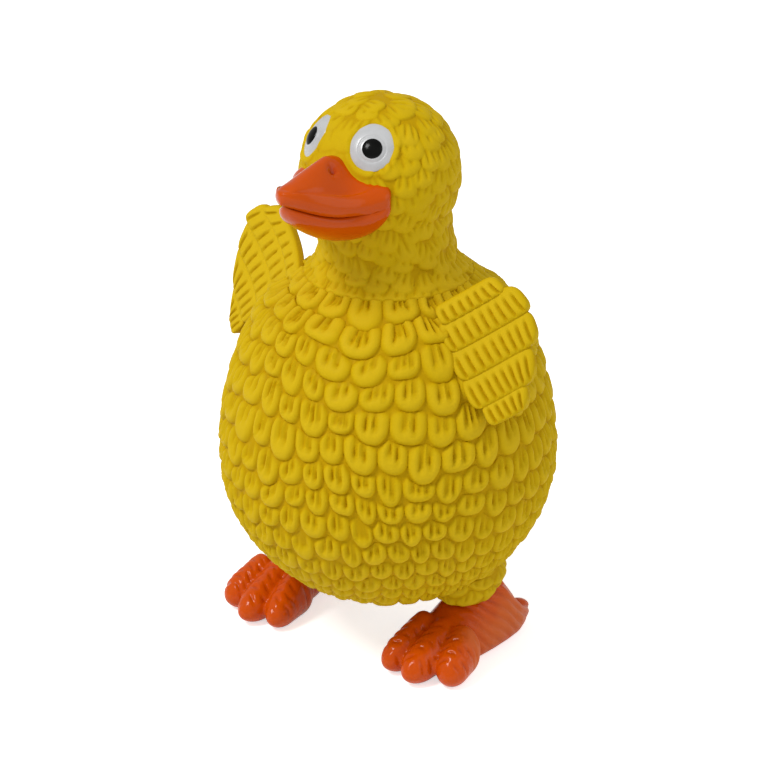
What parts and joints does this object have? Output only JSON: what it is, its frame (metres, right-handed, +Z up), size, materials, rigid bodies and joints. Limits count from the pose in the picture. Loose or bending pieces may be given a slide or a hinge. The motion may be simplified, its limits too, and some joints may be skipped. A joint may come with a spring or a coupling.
{
  "type": "latex squeaking dog toy",
  "caption": "Hollow latex dog toy shaped as a standing duck, with feather relief, raised ribbed wings, webless feet and a squeaker under the belly.",
  "frame": {"origin": "on the floor under the middle of the duck, midway between the wing tips and midway between the front and back", "axes": "+Z up, -Y the way the duck faces, +X to the duck's left"},
  "size_m": [0.0873, 0.0784, 0.1327],
  "materials": {
    "yellow_latex": "satin",
    "orange_paint": "glossy",
    "white_paint": "glossy",
    "black_paint": "glossy",
    "squeaker_plastic": "matt",
    "reed_film": "glossy"
  },
  "bodies": {
    "duck": {"body_shell": "yellow_latex", "left_wing": "yellow_latex", "right_wing": "yellow_latex", "left_foot": "orange_paint", "right_foot": "orange_paint", "head_shell": "yellow_latex", "upper_bill": "orange_paint", "lower_bill": "orange_paint", "left_eye_white": "white_paint", "right_eye_white": "white_paint", "left_pupil": "black_paint", "right_pupil": "black_paint", "squeaker_housing": "squeaker_plastic", "reed_bed": "squeaker_plastic", "reed_clamp": "squeaker_plastic"},
    "reed": {"reed": "reed_film"}
  },
  "joints": [
    {"name": "reed_beat", "type": "hinge", "parent": "duck", "child": "reed", "pos_m": [0, 0.0005, 0.01635], "axis": [1, 0, 0], "range_deg": [-4, 4], "stiffness_Nm_per_rad": 0.0002}
  ]
}
